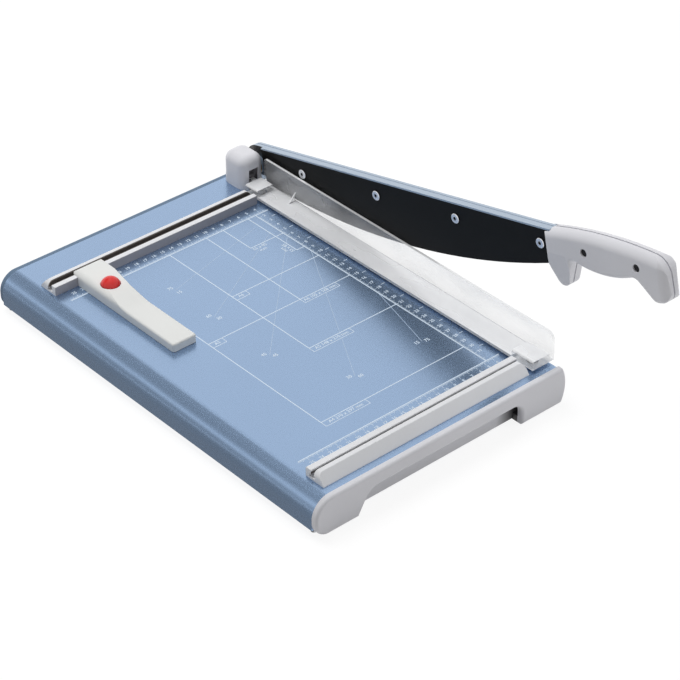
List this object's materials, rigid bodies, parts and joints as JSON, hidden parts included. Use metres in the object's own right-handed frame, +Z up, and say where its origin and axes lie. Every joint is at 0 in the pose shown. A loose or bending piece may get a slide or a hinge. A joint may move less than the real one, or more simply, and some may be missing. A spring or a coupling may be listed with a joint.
{
  "type": "paper cutter",
  "caption": "Lever paper cutter: sheet-metal table, stop rails, sliding back gauge with push lock, clear pressing guard and a long pivoting blade arm with a hooked grip.",
  "frame": {"origin": "middle of the bounding box at the desk, under the rubber feet", "axes": "+X from the table towards the blade, +Y along the cut away from the user towards the pivot, +Z up"},
  "size_m": [0.3032, 0.5442, 0.1908],
  "materials": {
    "table_blue": "satin powder coat",
    "cap_grey": "fine texture",
    "rail_grey": "satin",
    "housing_grey": "satin",
    "handle_grey": "satin",
    "arm_blue": "satin powder coat",
    "blade_black": "black coated steel",
    "steel": "ground or plated",
    "bronze": "machined",
    "bush_plastic": "moulded",
    "guard_clear": "clear",
    "gauge_white": "satin",
    "gauge_dark": "moulded",
    "button_red": "smooth",
    "pad_rubber": "matt"
  },
  "bodies": {
    "base": {"table_top": "table_blue", "near_end_cap": "cap_grey", "far_end_cap": "cap_grey", "foot_pad_near_left": "pad_rubber", "foot_pad_near_right": "pad_rubber", "foot_pad_far_left": "pad_rubber", "foot_pad_far_right": "pad_rubber", "cap_screws": "steel", "far_rail": "rail_grey", "near_rail": "rail_grey", "rail_screws": "steel", "lower_blade": "steel", "lower_blade_screws": "steel", "lower_blade_nuts": "steel", "pivot_bracket": "steel", "bracket_screws": "steel", "pivot_bush": "bronze", "housing_cover": "housing_grey", "housing_screws": "steel", "guide_bush_near": "bush_plastic", "guide_bush_far": "bush_plastic", "clamp_spring_near": "steel", "clamp_spring_far": "steel"},
    "arm": {"blade_arm": "arm_blue", "upper_blade": "blade_black", "blade_screws": "steel", "pivot_bolt": "steel", "outer_washer": "steel", "inner_washer": "steel", "press_finger": "steel", "disc_springs": "steel", "pivot_nut": "steel", "handle_left": "handle_grey", "handle_right": "handle_grey", "handle_bolts": "steel", "handle_nuts": "steel"},
    "clamp": {"clamp_guard": "guard_clear", "guide_post_near": "steel", "guide_post_far": "steel", "post_clip_near": "steel", "post_clip_far": "steel"},
    "gauge": {"gauge_arm": "gauge_white", "gauge_base_plate": "gauge_dark", "lock_spring": "steel"},
    "button": {"lock_button": "button_red"},
    "shoe": {"clamp_shoe": "gauge_dark"}
  },
  "joints": [
    {"name": "blade_swing", "type": "hinge", "parent": "base", "child": "arm", "pos_m": [0.1404, 0.24708, 0.0515], "axis": [-1, 0, 0], "range_deg": [-14.5, 45]},
    {"name": "clamp_press", "type": "slide", "parent": "base", "child": "clamp", "axis": [0, 0, 1], "range_m": [-0.0022, 0.0069], "deforming": ["clamp_spring_near", "clamp_spring_far"]},
    {"name": "gauge_slide", "type": "slide", "parent": "base", "child": "gauge", "axis": [1, 0, 0], "range_m": [-0.024, 0.165]},
    {"name": "lock_press", "type": "slide", "parent": "gauge", "child": "button", "axis": [0, 0, -1], "range_m": [0, 0.002], "stiffness_N_per_m": 500, "springref_m": -0.001},
    {"name": "shoe_release", "type": "slide", "parent": "gauge", "child": "shoe", "axis": [0, -1, 0], "range_m": [0, 0.001], "deforming": ["lock_spring"]}
  ],
  "couplings": [
    {"joint": "clamp_press", "follows": "blade_swing", "m_per_rad": 0.00869},
    {"joint": "shoe_release", "follows": "lock_press", "ratio": 0.5}
  ]
}
